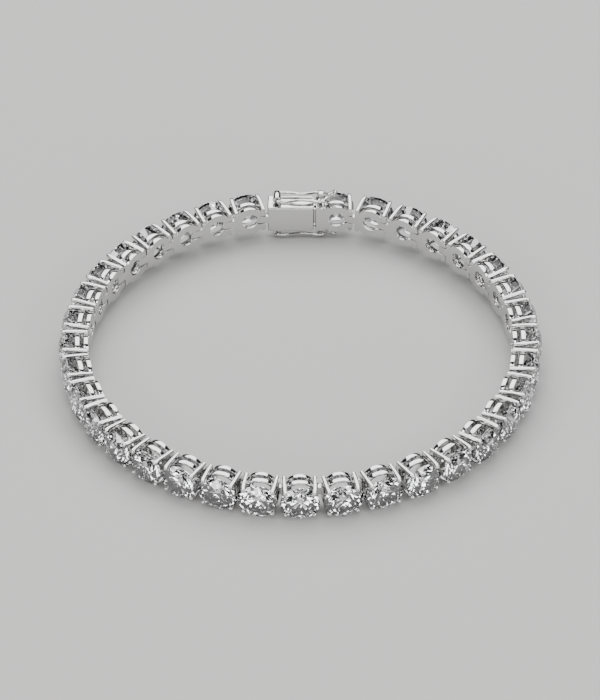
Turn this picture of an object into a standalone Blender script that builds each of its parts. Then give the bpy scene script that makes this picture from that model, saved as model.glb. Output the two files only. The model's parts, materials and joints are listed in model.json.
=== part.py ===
"""A tennis bracelet: claw-set round stones hinged into a closed loop, with a box
clasp and a wire safety catch on its upper and on its lower edge.

The loop stands on its edge as it would on a table.  Each setting is modelled once
in its own frame: x runs along the bracelet, y points outwards from the wrist and
z points up.  All sizes are in metres.
"""
import math

import bpy
from mathutils import Matrix, Vector

MM = 0.001

# The stone: a round brilliant drawn with eight sides
STONE_DIAMETER = 5.00 * MM
STONE_SIDES = 8
TABLE_DIAMETER = 2.86 * MM
CROWN_HEIGHT = 0.76 * MM
PAVILION_DEPTH = 2.10 * MM
TABLE_PROUD = 0.10 * MM          # the table stands this far above the claws

# The four claws and the two galleries that carry them
CLAW_WIDTH = 0.62 * MM
CLAW_LENGTH = 3.45 * MM
CLAW_GRIP = 0.33 * MM            # how far a claw bites over the stone's edge
CLAW_LEAN = 0.30 * MM            # the tips stand this far above and below the feet
CLAW_SPLAY = 0.09 * MM           # the feet stand this far outside the tips along the row
CLAW_TIP_SLOPE = 0.22 * MM
BASE_THICKNESS = 0.80 * MM
BASE_ARCH_DIAMETER = 4.36 * MM
BASE_HOLE_DIAMETER = 2.30 * MM
BASE_SHOULDER = 0.15 * MM        # the base reaches this far past the claws
FOOT_MARGIN = 0.03 * MM
GALLERY_LIFT = 1.10 * MM         # the upper gallery's distance from the inner face
GALLERY_DEPTH = 0.70 * MM
GALLERY_WALL = 0.40 * MM
GALLERY_RISE = 0.36 * MM

# The hinges: a tab on one setting, a slot with a pin on the next
SETTINGS_RIGHT = 16
SETTINGS_LEFT = 17
LINK_GAP = 0.30 * MM
HINGE_PLAY = 0.15 * MM
CLEARANCE = 0.10 * MM
SLOT_HEIGHT = 1.30 * MM
PIN_DIAMETER = 0.30 * MM
PIN_INSET = 0.35 * MM            # from the pin's axis to the edge of the base
PIN_ROOT = 0.10 * MM
TAB_NOSE = 0.42 * MM
PIN_SIDES = 6

# The box clasp
BOX_LENGTH = 6.45 * MM
BOX_DEPTH = 3.00 * MM
BOX_HEIGHT = 4.10 * MM
BOX_RIM = 0.38 * MM
BOX_END_RIM = 0.72 * MM
BOX_RECESS = 0.20 * MM
BOX_EDGE = 0.62 * MM             # from the box's hinge pin to the box
CLASP_GAP = 0.22 * MM
END_BLOCK_LENGTH = 1.56 * MM
END_BLOCK_OVERLAP = 0.80 * MM    # the last setting is soldered this far into the block
TONGUE_LENGTH = 4.40 * MM
TONGUE_WIDTH = 2.40 * MM
TONGUE_THICKNESS = 1.30 * MM
TONGUE_NOSE_THICKNESS = 0.50 * MM
TONGUE_CLEARANCE = 0.20 * MM

# The safety catches: a wire loop that turns in a barrel and snaps over a stud
CATCH_WIRE = 0.42 * MM
WIRE_SIDES = 5
BARREL_SET_BACK = 1.33 * MM      # from the end of the box to the barrel's axis
BARREL_DIAMETER = 1.16 * MM
BARREL_LENGTH = 1.62 * MM
BARREL_SIDES = 10
BARREL_HEIGHT = 0.80 * MM        # the barrel's axis above the box
FOOT_WIDTH = 0.70 * MM
STUB_LENGTH = 0.45 * MM
STUD_HEIGHT = 1.76 * MM          # above the end block
HEAD_DIAMETER = 1.10 * MM
HEAD_THICKNESS = 0.56 * MM
NECK_DIAMETER = 0.60 * MM
COLLAR_DIAMETER = 1.40 * MM
COLLAR_HEIGHT = 0.74 * MM
STUD_SIDES = 8
WAIST_WIDTH = 1.46 * MM
LOOP_WIDTH = 2.26 * MM
JOIN_WIDTH = 0.52 * MM
JOIN_REACH = 1.10 * MM           # from the stud to where the wires come together
THUMB_REACH = 0.78 * MM          # from there to the end of the thumb piece
THUMB_LIFT = 0.70 * MM
CATCH_STEPS = 3                  # points on the wire for each row of its table

# Worked out from the sizes above
HALF = 0.5
STONE_RADIUS = STONE_DIAMETER * HALF
CLAW_HALF = CLAW_WIDTH * HALF
CLAW_OUT = (STONE_RADIUS - CLAW_GRIP) * math.sqrt(HALF) + CLAW_HALF
FOOT_UP = CLAW_OUT - CLAW_LEAN
GIRDLE_Y = CLAW_LENGTH + TABLE_PROUD - CROWN_HEIGHT
BASE_HALF = CLAW_OUT + CLAW_HALF + BASE_SHOULDER
BASE_TOP = FOOT_UP + CLAW_LEAN * BASE_THICKNESS / CLAW_LENGTH + CLAW_HALF + FOOT_MARGIN
PITCH = 2 * BASE_HALF + LINK_GAP
PITCH_RIGHT = PITCH + HINGE_PLAY * HALF
PITCH_LEFT = PITCH - HINGE_PLAY * HALF
PIN_X = BASE_HALF - PIN_INSET
PIN_Y = BASE_THICKNESS * HALF
PIN_RADIUS = PIN_DIAMETER * HALF
BORE_RADIUS = PIN_RADIUS + CLEARANCE / math.cos(math.pi / PIN_SIDES)
FRONT_LEAN = (HALF - PIN_X / PITCH) * math.tau / (SETTINGS_LEFT + SETTINGS_RIGHT + 3)
BOX_UP = BOX_HEIGHT * HALF
BOX_START = BOX_EDGE
BOX_END = BOX_START + BOX_LENGTH
BLOCK_START = BOX_END + CLASP_GAP
BLOCK_END = BLOCK_START + END_BLOCK_LENGTH
LAST_SETTING_X = BLOCK_END - END_BLOCK_OVERLAP + CLAW_OUT + CLAW_HALF
CLASP_LENGTH = LAST_SETTING_X + PIN_X
BARREL_X = BOX_START + BARREL_SET_BACK
BARREL_UP = BOX_UP + BARREL_HEIGHT
STUD_X = (BLOCK_START + BLOCK_END) * HALF
CLASP_MIDDLE = BOX_DEPTH * HALF

WHITE_GOLD = ("white_gold", (0.86, 0.86, 0.85), 0.12, 1.0)
CATCH_WIRE_GOLD = ("catch_wire_gold", (0.88, 0.88, 0.87), 0.10, 1.0)
DIAMOND = ("diamond", (0.95, 0.96, 1.0), 0.02, 0.0)


def clear_scene():
    """Remove whatever the file opened with."""
    for item in list(bpy.data.objects):
        bpy.data.objects.remove(item, do_unlink=True)


def material(description):
    """The Principled material of one finish, made once."""
    name, colour, roughness, metallic = description
    if name in bpy.data.materials:
        return bpy.data.materials[name]
    finish = bpy.data.materials.new(name)
    finish.use_nodes = True
    shader = finish.node_tree.nodes["Principled BSDF"]
    shader.inputs["Base Color"].default_value = (*colour, 1.0)
    shader.inputs["Roughness"].default_value = roughness
    shader.inputs["Metallic"].default_value = metallic
    return finish


def solid(name, points, faces, finish):
    """An object made of the given corners and faces."""
    mesh = bpy.data.meshes.new(name)
    mesh.from_pydata([tuple(point) for point in points], [], faces)
    mesh.materials.append(material(finish))
    mesh.update()
    piece = bpy.data.objects.new(name, mesh)
    bpy.context.scene.collection.objects.link(piece)
    return piece


def skin_rings(name, rings, finish):
    """A closed body through rings of equal length, capped at both ends."""
    count = len(rings[0])
    points = [point for ring in rings for point in ring]
    faces = [tuple(reversed(range(count)))]
    for level in range(len(rings) - 1):
        low = level * count
        high = low + count
        for side in range(count):
            after = (side + 1) % count
            faces.append((low + side, low + after, high + after, high + side))
    last = (len(rings) - 1) * count
    faces.append(tuple(range(last, last + count)))
    return solid(name, points, faces, finish)


def prism_along_y(name, outline, start, end, finish=WHITE_GOLD):
    """Extrude an outline of (x, z) points, listed clockwise from outside, along y."""
    rings = [[(x, y, z) for x, z in outline] for y in (start, end)]
    return skin_rings(name, rings, finish)


def prism_along_z(name, outline, start, end, finish=WHITE_GOLD):
    """Extrude an outline of (x, y) points, listed anticlockwise from above, along z."""
    rings = [[(x, y, z) for x, y in outline] for z in (start, end)]
    return skin_rings(name, rings, finish)


def block(name, low, high, finish=WHITE_GOLD):
    """A rectangular block between two opposite corners."""
    outline = [(low[0], low[1]), (high[0], low[1]), (high[0], high[1]), (low[0], high[1])]
    return prism_along_z(name, outline, low[2], high[2], finish)


def circle(radius, sides, turn=0.0, centre=(0.0, 0.0), stretch=0.0):
    """Points round a circle, pulled apart along the first axis by a stretch."""
    points = []
    for index in range(sides):
        angle = turn + math.tau * index / sides
        shift = math.copysign(stretch, math.cos(angle)) if stretch else 0.0
        points.append((centre[0] + radius * math.cos(angle) + shift,
                       centre[1] + radius * math.sin(angle)))
    return points


def combine(target, others, operation="UNION"):
    """Fuse other solids to a target, or cut them from it, and return the target."""
    for other in others:
        step = target.modifiers.new(other.name, "BOOLEAN")
        step.operation = operation
        step.solver = "EXACT"
        step.material_mode = "TRANSFER"
        step.object = other
    graph = bpy.context.evaluated_depsgraph_get()
    mesh = bpy.data.meshes.new_from_object(target.evaluated_get(graph))
    target.modifiers.clear()
    target.data = mesh
    for other in others:
        bpy.data.objects.remove(other, do_unlink=True)
    return target


def brilliant(name):
    """A round stone with its table facing outwards, its culet towards the wrist."""
    half_side = math.pi / STONE_SIDES
    corner = STONE_RADIUS * math.sqrt(1 / math.cos(half_side))
    share = corner / STONE_RADIUS
    girdle = circle(corner, STONE_SIDES, half_side)
    table = circle(TABLE_DIAMETER * HALF * share, STONE_SIDES, half_side)
    points = [(x, GIRDLE_Y + CROWN_HEIGHT, -z) for x, z in table]
    points += [(x, GIRDLE_Y, -z) for x, z in girdle]
    points.append((0.0, GIRDLE_Y - PAVILION_DEPTH, 0.0))
    culet = len(points) - 1
    faces = [tuple(range(STONE_SIDES))]
    for side in range(STONE_SIDES):
        after = (side + 1) % STONE_SIDES
        low = STONE_SIDES + side
        low_after = STONE_SIDES + after
        faces.append((low, low_after, after, side))
        faces.append((culet, low_after, low))
    return solid(name, points, faces, DIAMOND)


def claw(name, side_x, side_z):
    """A square bar that leans from its foot in the base to a sloping tip."""
    rings = []
    root = BASE_THICKNESS * HALF
    for y in (root, CLAW_LENGTH):
        up = FOOT_UP + CLAW_LEAN * y / CLAW_LENGTH
        out = CLAW_OUT + CLAW_SPLAY * (1 - y / CLAW_LENGTH)
        corners = [(-CLAW_HALF, -CLAW_HALF), (CLAW_HALF, -CLAW_HALF),
                   (CLAW_HALF, CLAW_HALF), (-CLAW_HALF, CLAW_HALF)]
        ring = []
        for across, rise in corners:
            x = side_x * out + across
            z = side_z * up + rise
            facing_stone = side_x * across < 0 and side_z * rise < 0
            drop = CLAW_TIP_SLOPE if y > root and facing_stone else 0.0
            ring.append((x, y - drop, z))
        rings.append(list(reversed(ring)))
    return skin_rings(name, rings, WHITE_GOLD)


def base_outline(forked):
    """The base seen from outside: two arches, four corners, a hole and its slot."""
    arch = BASE_ARCH_DIAMETER * HALF
    inner = CLAW_OUT - CLAW_HALF - FOOT_MARGIN
    start = math.acos(inner / arch)
    kinks = [start + (math.pi - 2 * start) * part / 3 for part in range(4)]
    upper = [(arch * math.cos(angle), arch * math.sin(angle)) for angle in kinks]
    upper = [(BASE_HALF, BASE_TOP), (inner, BASE_TOP)] + upper
    upper += [(-inner, BASE_TOP), (-BASE_HALF, BASE_TOP)]
    lower = [(-x, -z) for x, z in upper]
    if not forked:
        return upper + lower
    slot = SLOT_HEIGHT * HALF
    hole = BASE_HOLE_DIAMETER * HALF
    meeting = math.sqrt(hole * hole - slot * slot)
    opening = [(x, z) for x, z in circle(hole, 8) if x < meeting - FOOT_MARGIN]
    opening = sorted(opening, key=lambda point: math.atan2(point[1], point[0]) % math.tau)
    mouth = [(BASE_HALF, -slot), (meeting, -slot)]
    return upper + lower + mouth + list(reversed(opening)) + [(meeting, slot), (BASE_HALF, slot)]


def base(name, forked=True):
    """The pierced plate that lies towards the wrist."""
    outline = base_outline(forked)
    return prism_along_y(name, list(reversed(outline)), 0.0, BASE_THICKNESS)


def gallery_rails(name):
    """The arched rails that join the upper two claws and the lower two."""
    inner = CLAW_OUT - CLAW_HALF
    end = GALLERY_LIFT + GALLERY_DEPTH
    seat = FOOT_UP + CLAW_LEAN * end / CLAW_LENGTH
    low = seat - CLAW_HALF + FOOT_MARGIN
    crown = low + GALLERY_RISE
    span = [(-CLAW_OUT, low), (-inner * HALF, crown), (inner * HALF, crown), (CLAW_OUT, low)]
    rails = []
    for side in (1, -1):
        outline = [(x, side * z) for x, z in span]
        outline += [(x, side * (z + GALLERY_WALL)) for x, z in reversed(span)]
        if side > 0:
            outline.reverse()
        rails.append(prism_along_y(f"{name}_arch", outline, GALLERY_LIFT, end))
    return rails


def tab(name, root, length):
    """The hinge's tab: a plate that reaches back past the pin's axis."""
    half = SLOT_HEIGHT * HALF - CLEARANCE
    return block(name, (root - length, 0.0, -half), (root, BASE_THICKNESS, half))


def bore(name, x):
    """The hole in a tab, longer than it is wide by the play of the hinge."""
    outline = circle(BORE_RADIUS, PIN_SIDES, 0.0, (x, PIN_Y), HINGE_PLAY * HALF)
    return prism_along_z(name, outline, -SLOT_HEIGHT, SLOT_HEIGHT)


def pin(name, x):
    """The pin across a slot, rooted in the metal above and below it."""
    reach = SLOT_HEIGHT * HALF + PIN_ROOT
    outline = circle(PIN_RADIUS, PIN_SIDES, 0.0, (x, PIN_Y))
    return prism_along_z(name, outline, -reach, reach)


def claw_setting(name, with_tab=True):
    """One setting with its stone: base, claws, rails, pin and, if asked, its tab."""
    body = base(name)
    parts = [claw(f"{name}_claw", x, z) for x in (-1, 1) for z in (-1, 1)]
    parts += gallery_rails(name)
    parts.append(pin(f"{name}_pin", PIN_X))
    if with_tab:
        root = -BASE_HALF + BASE_SHOULDER
        reach = PITCH - PIN_X - BASE_HALF + TAB_NOSE + BASE_SHOULDER
        parts.append(tab(f"{name}_tab", root, reach))
    parts.append(brilliant(f"{name}_stone"))
    body = combine(body, parts)
    if with_tab:
        body = combine(body, [bore(f"{name}_bore", PIN_X - PITCH)], "DIFFERENCE")
    return body


def half_loop(start, lean, pitch, turn, count):
    """Walk a run of equal links that each turn by the same angle.

    The walk begins on the front link's line, a start's length from its middle and
    leaning off straight.  It gives each link's heading and the place of its first
    pin, and ends with the last pin.
    """
    x = start * math.cos(lean)
    y = start * math.sin(lean)
    steps = []
    for index in range(count):
        heading = lean + turn * (index + 1)
        steps.append((x, y, heading))
        x += pitch * math.cos(heading)
        y += pitch * math.sin(heading)
    return steps, (x, y)


def bisect(function, low, high):
    """The place between two values where a function changes its sign."""
    low_value = function(low)
    for _ in range(80):
        middle = (low + high) * HALF
        value = function(middle)
        if (value > 0) == (low_value > 0):
            low = middle
        else:
            high = middle
    return (low + high) * HALF


def turn_to_reach(start, lean, pitch, count, reach):
    """The turn at each hinge that brings a run's last pin to a distance sideways."""
    def miss(turn):
        return half_loop(start, lean, pitch, turn, count)[1][0] - reach
    return bisect(miss, HALF * math.pi / count, 1.15 * math.pi / count)


def close_loop():
    """Bend both runs so that they meet the straight clasp at equal depth."""
    right_start = PITCH_RIGHT - PIN_X

    def runs(shift):
        right = turn_to_reach(right_start, FRONT_LEAN, PITCH_RIGHT, SETTINGS_RIGHT,
                              CLASP_LENGTH * HALF + shift)
        left = turn_to_reach(PIN_X, -FRONT_LEAN, PITCH_LEFT, SETTINGS_LEFT,
                             CLASP_LENGTH * HALF - shift)
        return (half_loop(right_start, FRONT_LEAN, PITCH_RIGHT, right, SETTINGS_RIGHT),
                half_loop(PIN_X, -FRONT_LEAN, PITCH_LEFT, left, SETTINGS_LEFT))

    def miss(shift):
        right, left = runs(shift)
        return right[1][1] - left[1][1]

    shift = bisect(miss, -HALF * CLASP_LENGTH, HALF * CLASP_LENGTH)
    right, left = runs(shift)
    return right, left, shift


def link_places():
    """The matrix of each setting and of the clasp, seen from above the level loop."""
    (right, right_end), (left, _), shift = close_loop()
    depth = right_end[1] * HALF
    places = []
    for x, y, heading in reversed(right):
        along = Vector((-math.cos(heading), -math.sin(heading), 0.0))
        pin_place = Vector((x, y - depth, 0.0))
        places.append(frame_at(pin_place - along * PIN_X, along))
    along = Vector((-math.cos(FRONT_LEAN), -math.sin(FRONT_LEAN), 0.0))
    places.append(frame_at(Vector((0.0, -depth, 0.0)), along))
    for x, y, heading in left:
        along = Vector((-math.cos(heading), math.sin(heading), 0.0))
        first_pin = Vector((-x, y - depth, 0.0))
        places.append(frame_at(first_pin + along * (PITCH_LEFT - PIN_X), along))
    clasp = frame_at(Vector((shift - CLASP_LENGTH * HALF, depth, 0.0)), Vector((1.0, 0.0, 0.0)))
    return places, clasp


def frame_at(place, along):
    """A frame at a place on the pins' line, its x axis along the bracelet."""
    up = Vector((0.0, 0.0, 1.0))
    outwards = up.cross(along)
    matrix = Matrix((along, outwards, up)).transposed().to_4x4()
    matrix.translation = place - outwards * PIN_Y
    return matrix


def clasp_box(name):
    """The box, its tab, its recessed faces, the tongue's pocket and both barrels."""
    body = block(name, (BOX_START, 0.0, -BOX_UP), (BOX_END, BOX_DEPTH, BOX_UP))
    room = TONGUE_CLEARANCE
    wide = TONGUE_WIDTH * HALF + room
    thick = TONGUE_THICKNESS * HALF + room
    cutters = [block(f"{name}_pocket",
                     (BLOCK_START - TONGUE_LENGTH - room, CLASP_MIDDLE - thick, -wide),
                     (BOX_END + room, CLASP_MIDDLE + thick, wide))]
    for side in (1, -1):
        levels = sorted((side * (BOX_UP - BOX_RECESS), side * (BOX_UP + BOX_RECESS)))
        cutters.append(block(f"{name}_recess",
                             (BOX_START + BOX_END_RIM, BOX_RIM, levels[0]),
                             (BOX_END + BOX_RIM, BOX_DEPTH - BOX_RIM, levels[1])))
    body = combine(body, cutters, "DIFFERENCE")
    hinge = tab(f"{name}_tab", BOX_START + BOX_RIM, BOX_START + TAB_NOSE + BOX_RIM)
    barrels = [part for side in (1, -1) for part in barrel(f"{name}_barrel", side)]
    body = combine(body, [hinge] + barrels)
    holes = [bore(f"{name}_bore", 0.0)]
    holes += [barrel_bore(f"{name}_barrel_bore", side) for side in (1, -1)]
    return combine(body, holes, "DIFFERENCE")


def barrel_tube(name, side, radius, length):
    """A round rod along the barrel's axis on the upper or the lower face."""
    outline = circle(radius, BARREL_SIDES, math.pi / BARREL_SIDES,
                     (BARREL_X, side * BARREL_UP))
    return prism_along_y(name, list(reversed(outline)),
                         CLASP_MIDDLE - length * HALF, CLASP_MIDDLE + length * HALF)


def barrel(name, side):
    """A barrel and the foot that holds it off the box."""
    tube = barrel_tube(name, side, BARREL_DIAMETER * HALF, BARREL_LENGTH)
    levels = sorted((side * (BOX_UP - BOX_RECESS * 2), side * BARREL_UP))
    foot_end = BARREL_LENGTH * HALF - BOX_RIM * HALF
    foot = block(f"{name}_foot",
                 (BARREL_X - FOOT_WIDTH * HALF, CLASP_MIDDLE - foot_end, levels[0]),
                 (BARREL_X + FOOT_WIDTH * HALF, CLASP_MIDDLE + foot_end, levels[1]))
    return [tube, foot]


def barrel_bore(name, side):
    """The hole through a barrel, which the catch's ends turn in."""
    radius = (CATCH_WIRE * HALF + CLEARANCE) / math.cos(math.pi / BARREL_SIDES)
    return barrel_tube(name, side, radius, BARREL_LENGTH + CATCH_WIRE)


def stud(name, side):
    """A flat head on a neck and a wide collar, turned about an upright axis."""
    top = BOX_UP + STUD_HEIGHT
    head = HEAD_DIAMETER * HALF
    collar = COLLAR_DIAMETER * HALF
    neck = NECK_DIAMETER * HALF
    profile = [(collar, BOX_UP - BOX_RECESS), (collar, BOX_UP + COLLAR_HEIGHT),
               (neck, BOX_UP + COLLAR_HEIGHT), (neck, top - HEAD_THICKNESS),
               (head, top - HEAD_THICKNESS * 0.7), (head, top - HEAD_THICKNESS * 0.3),
               (head * 0.7, top)]
    rings = []
    for radius, height in profile:
        ring = circle(radius, STUD_SIDES, math.pi / STUD_SIDES, (STUD_X, CLASP_MIDDLE))
        if side < 0:
            ring.reverse()
        rings.append([(x, y, side * height) for x, y in ring])
    return skin_rings(name, rings, WHITE_GOLD)


def tongue(name):
    """The sprung tongue inside the box, thinner towards its nose."""
    wide = TONGUE_WIDTH * HALF
    thick = TONGUE_THICKNESS * HALF
    thin = TONGUE_NOSE_THICKNESS * HALF
    nose = BLOCK_START - TONGUE_LENGTH
    root = BLOCK_START + BOX_RIM
    outline = [(nose, CLASP_MIDDLE - thin), (BOX_END, CLASP_MIDDLE - thick),
               (root, CLASP_MIDDLE - thick), (root, CLASP_MIDDLE + thick),
               (BOX_END, CLASP_MIDDLE + thick), (nose, CLASP_MIDDLE + thin)]
    return prism_along_z(name, outline, -wide, wide)


def clasp_tongue(name):
    """The last setting, the block it is soldered to, the tongue and both studs."""
    setting = claw_setting(name, with_tab=False)
    setting.data.transform(Matrix.Translation((LAST_SETTING_X, 0.0, 0.0)))
    parts = [block(f"{name}_block", (BLOCK_START, 0.0, -BOX_UP), (BLOCK_END, BOX_DEPTH, BOX_UP)),
             tongue(f"{name}_spring")]
    parts += [stud(f"{name}_stud", side) for side in (1, -1)]
    return combine(setting, parts)


def catch_table():
    """Rows of the catch's half outline: distance along it, half width and lift."""
    stud_along = STUD_X - BARREL_X
    return [
        {"along": 0.0, "half_width": LOOP_WIDTH * HALF, "lift": 0.0},
        {"along": stud_along * 0.16, "half_width": LOOP_WIDTH * HALF, "lift": 0.0},
        {"along": stud_along * 0.56, "half_width": WAIST_WIDTH * HALF, "lift": 0.0},
        {"along": stud_along, "half_width": LOOP_WIDTH * HALF, "lift": 0.0},
        {"along": stud_along + JOIN_REACH, "half_width": JOIN_WIDTH * HALF, "lift": THUMB_LIFT * 0.3},
        {"along": stud_along + JOIN_REACH + THUMB_REACH, "half_width": CATCH_WIRE * 0.55,
         "lift": THUMB_LIFT},
    ]


def catch_half():
    """Points down one side of the catch, eased from row to row of its table."""
    rows = catch_table()
    points = []
    for row, after in zip(rows, rows[1:]):
        for step in range(CATCH_STEPS):
            part = step / CATCH_STEPS
            ease = HALF - HALF * math.cos(math.pi * part)
            along = row["along"] + (after["along"] - row["along"]) * part
            width = row["half_width"] + (after["half_width"] - row["half_width"]) * ease
            lift = row["lift"] + (after["lift"] - row["lift"]) * part
            points.append((along, width, lift))
    last = rows[-1]
    points.append((last["along"], last["half_width"], last["lift"]))
    return points


def catch_path():
    """The whole wire: stub, one side, the thumb's turn, the other side, stub."""
    side = catch_half()
    stub = LOOP_WIDTH * HALF - STUB_LENGTH - CATCH_WIRE * HALF
    near = [(along, -width, lift) for along, width, lift in side]
    far = [(along, width, lift) for along, width, lift in reversed(side)]
    path = [(0.0, -stub, 0.0)] + near + far + [(0.0, stub, 0.0)]
    return [Vector(point) for point in path]


def sweep_wire(name, path, radius, sides, finish):
    """A wire of even thickness along a path, mitred at each of its bends."""
    rings = []
    upright = Vector((0.0, 0.0, 1.0))
    for index, point in enumerate(path):
        before = path[max(index - 1, 0)]
        after = path[min(index + 1, len(path) - 1)]
        into = (point - before).normalized()
        out = (after - point).normalized()
        tangent = (into + out).normalized()
        across = upright.cross(tangent).normalized()
        rise = tangent.cross(across)
        corner = max(abs(tangent.dot(out if into.length == 0 else into)), HALF)
        ring = []
        for turn in range(sides):
            angle = math.tau * turn / sides
            ring.append(point + across * (math.cos(angle) * radius / corner)
                        + rise * (math.sin(angle) * radius))
        rings.append(ring)
    return skin_rings(name, rings, finish)


def safety_catch(name, side):
    """One catch about its own hinge axis, lifted away from the box by its side."""
    wire = sweep_wire(name, catch_path(), CATCH_WIRE * HALF, WIRE_SIDES, CATCH_WIRE_GOLD)
    if side < 0:
        wire.data.transform(Matrix.Diagonal((1.0, 1.0, -1.0, 1.0)))
        wire.data.flip_normals()
    return wire


def corners(pieces):
    """Every corner of the given pieces, as they stand now."""
    bpy.context.view_layer.update()
    return [piece.matrix_world @ vertex.co for piece in pieces for vertex in piece.data.vertices]


def stand_on_edge(root, pieces, front, clasp_end):
    """Tip the level loop until the clasp's lower stud and the front link touch the ground.

    The loop is then moved so that the middle of its box stands over the origin.
    """
    for _ in range(4):
        toe = min(corners([front]), key=lambda corner: corner.z)
        heel = min(corners([clasp_end]), key=lambda corner: corner.z)
        tip = math.atan2(toe.z - heel.z, heel.y - toe.y)
        root.matrix_world = Matrix.Rotation(tip, 4, "X") @ root.matrix_world
    points = corners(pieces)
    low = Vector([min(point[axis] for point in points) for axis in range(3)])
    high = Vector([max(point[axis] for point in points) for axis in range(3)])
    middle = (low + high) * HALF
    shift = Matrix.Translation((-middle.x, -middle.y, -low.z))
    root.matrix_world = shift @ root.matrix_world


def place(piece, root, matrix):
    """Hang a piece on the root at its place in the level loop."""
    piece.parent = root
    piece.matrix_parent_inverse = Matrix.Identity(4)
    piece.matrix_local = matrix


def build():
    """Model every piece and stand the finished bracelet on its edge."""
    clear_scene()
    root = bpy.data.objects.new("bracelet", None)
    bpy.context.scene.collection.objects.link(root)
    places, clasp_place = link_places()
    first = claw_setting("link_01")
    for index, matrix in enumerate(places):
        piece = first
        if index:
            piece = bpy.data.objects.new(f"link_{index + 1:02d}", first.data)
            bpy.context.scene.collection.objects.link(piece)
        place(piece, root, matrix)
    place(clasp_tongue("clasp_tongue"), root, clasp_place)
    place(clasp_box("clasp_box"), root, clasp_place)
    for name, side in (("safety_catch_upper", 1), ("safety_catch_lower", -1)):
        hinge = Matrix.Translation((BARREL_X, CLASP_MIDDLE, side * BARREL_UP))
        place(safety_catch(name, side), root, clasp_place @ hinge)
    pieces = [item for item in bpy.data.objects if item.type == "MESH"]
    front = bpy.data.objects[f"link_{SETTINGS_RIGHT + 1:02d}"]
    stand_on_edge(root, pieces, front, bpy.data.objects["clasp_tongue"])


build()
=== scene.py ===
# %% [markdown]
# # A tennis bracelet in white gold
#
# A tennis bracelet is one row of round stones, each held by four claws in its own
# small setting.  The settings are hinged together, and a box clasp closes the row.
#
# We begin with the plain CAD solids of the bracelet, which fix every size and place.
# Then we put a finer setting and a fully cut stone where each plain link stands.
# Blender could bevel the CAD meshes instead, but their edges are too few to carry a
# soft gleam, and polished metal is nothing but its gleams.

# %% Load the frame
import json
import math

import bmesh
import bpy
from mathutils import Matrix, Vector


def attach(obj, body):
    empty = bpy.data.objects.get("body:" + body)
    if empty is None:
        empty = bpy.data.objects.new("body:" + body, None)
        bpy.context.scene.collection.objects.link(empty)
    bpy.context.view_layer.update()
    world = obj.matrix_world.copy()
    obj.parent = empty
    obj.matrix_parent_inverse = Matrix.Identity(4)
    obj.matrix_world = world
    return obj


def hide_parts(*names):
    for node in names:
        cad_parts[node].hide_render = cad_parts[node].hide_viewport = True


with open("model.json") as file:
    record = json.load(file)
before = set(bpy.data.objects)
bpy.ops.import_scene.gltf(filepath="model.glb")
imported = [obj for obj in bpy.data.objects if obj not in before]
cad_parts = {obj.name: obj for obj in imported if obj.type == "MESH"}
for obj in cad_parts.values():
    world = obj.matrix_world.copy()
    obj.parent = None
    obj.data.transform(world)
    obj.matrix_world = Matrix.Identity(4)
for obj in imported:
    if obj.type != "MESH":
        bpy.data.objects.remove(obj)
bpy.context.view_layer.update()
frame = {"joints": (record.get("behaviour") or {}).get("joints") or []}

MM = 0.001
HALF = 0.5

# %% [markdown]
# ## Where the links stand
#
# The bracelet stands on its edge.  A rigid clasp sits at the back, and two runs of
# links bend round to meet it, each hinge turning by the same angle.  One could copy
# thirty-five places by hand, but a chain is easier to walk: we start at the front,
# turn, step one link on and turn again.
#
# The links on one side are pushed together and on the other side pulled apart, as
# far as the play of the hinges lets them, so the two runs have different steps.

# %% Sizes of the chain
CLAW_OUT = 1.844 * MM            # a claw's axis from the middle of its setting
CLAW_HALF = 0.31 * MM
BASE_HALF = CLAW_OUT + CLAW_HALF + 0.15 * MM
PITCH = 2 * BASE_HALF + 0.30 * MM
PIN_X = BASE_HALF - 0.35 * MM
PIN_Y = 0.40 * MM
HINGE_PLAY = 0.15 * MM
RIGHT_COUNT = 16
LEFT_COUNT = 17
CLASP_LENGTH = 12.158 * MM       # from the box's hinge to the last setting's hinge
FRONT_LEAN = (HALF - PIN_X / PITCH) * math.tau / (RIGHT_COUNT + LEFT_COUNT + 3)
PITCH_RIGHT = PITCH + HINGE_PLAY * HALF
PITCH_LEFT = PITCH - HINGE_PLAY * HALF
print("pitch in mm:", round(PITCH / MM, 3))


# %% Walk one run of links
def walk_links(start, lean, pitch, turn, count):
    """The first hinge and the heading of each link in a run, and the run's end."""
    spot = Vector((start * math.cos(lean), start * math.sin(lean)))
    steps = []
    for index in range(count):
        heading = lean + turn * (index + 1)
        steps.append((spot.copy(), heading))
        spot += pitch * Vector((math.cos(heading), math.sin(heading)))
    return steps, spot


HALVINGS = 60                    # enough to settle the last digit


def find_zero(function, low, high):
    """Halve a span until it closes on the place where a function changes sign."""
    low_is_positive = function(low) > 0
    for _ in range(HALVINGS):
        middle = (low + high) * HALF
        if (function(middle) > 0) == low_is_positive:
            low = middle
        else:
            high = middle
    return low


LEAST_BEND, MOST_BEND = 0.5, 1.15      # of the half turn that a run makes


def run_reaching(start, lean, pitch, count, reach):
    """A run of links, bent just enough for its end to lie at a sideways reach."""
    def miss(turn):
        return walk_links(start, lean, pitch, turn, count)[1].x - reach
    turn = find_zero(miss, LEAST_BEND * math.pi / count, MOST_BEND * math.pi / count)
    return walk_links(start, lean, pitch, turn, count)


# %% Close the chain on the clasp
def both_runs(shift):
    """The right run and the left run when the clasp sits a shift to the right."""
    half = CLASP_LENGTH * HALF
    right = run_reaching(PITCH_RIGHT - PIN_X, FRONT_LEAN, PITCH_RIGHT, RIGHT_COUNT,
                         half + shift)
    left = run_reaching(PIN_X, -FRONT_LEAN, PITCH_LEFT, LEFT_COUNT, half - shift)
    return right, left


def uneven(shift):
    """How much deeper the right run ends than the left one."""
    right, left = both_runs(shift)
    return right[1].y - left[1].y


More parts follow.
